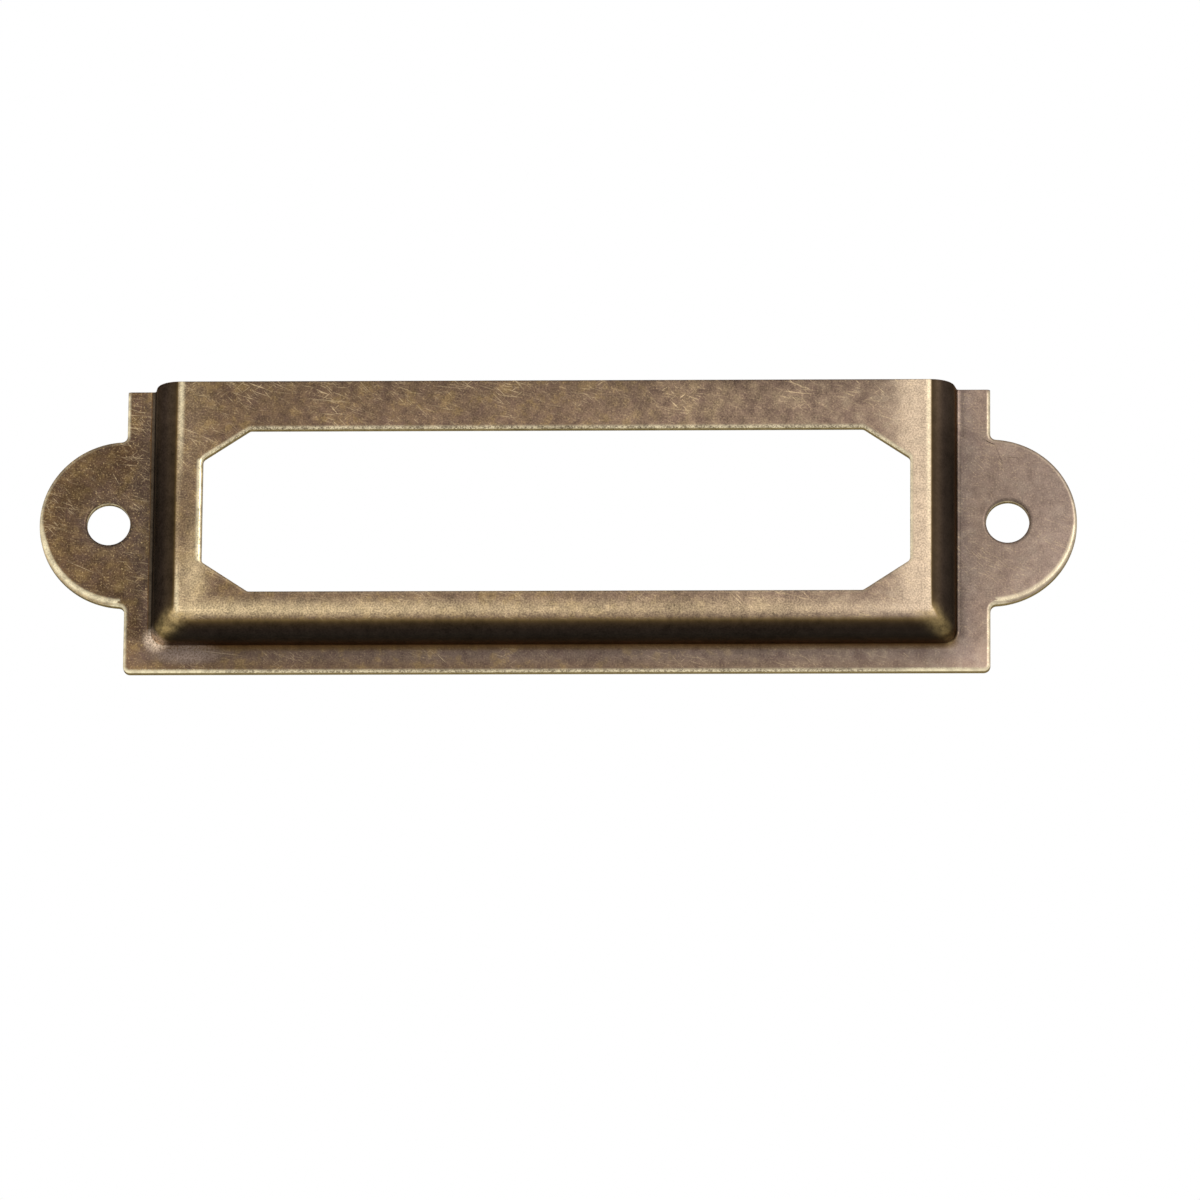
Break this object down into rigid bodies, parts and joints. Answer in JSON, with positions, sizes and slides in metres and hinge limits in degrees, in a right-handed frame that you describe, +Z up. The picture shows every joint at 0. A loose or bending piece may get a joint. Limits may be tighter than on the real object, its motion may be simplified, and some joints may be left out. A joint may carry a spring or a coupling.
{
  "type": "drawer label frame",
  "caption": "Pressed metal label frame for a drawer front: a raised tray with a slant-cornered window, open at the top for a card, on a flat plate with a round screw ear at either end.",
  "frame": {"origin": "midpoint between the screw holes, on the back face that lies against the drawer", "axes": "+X along the frame's length, -Y out of the drawer towards the viewer, +Z up towards the open end that takes the card"},
  "size_m": [0.06, 0.0026, 0.017],
  "materials": {
    "antique_brass": "antique brass plating, satin brown with buffed edges and dark walls"
  },
  "bodies": {
    "root": {"label_frame": "antique_brass"}
  },
  "joints": []
}
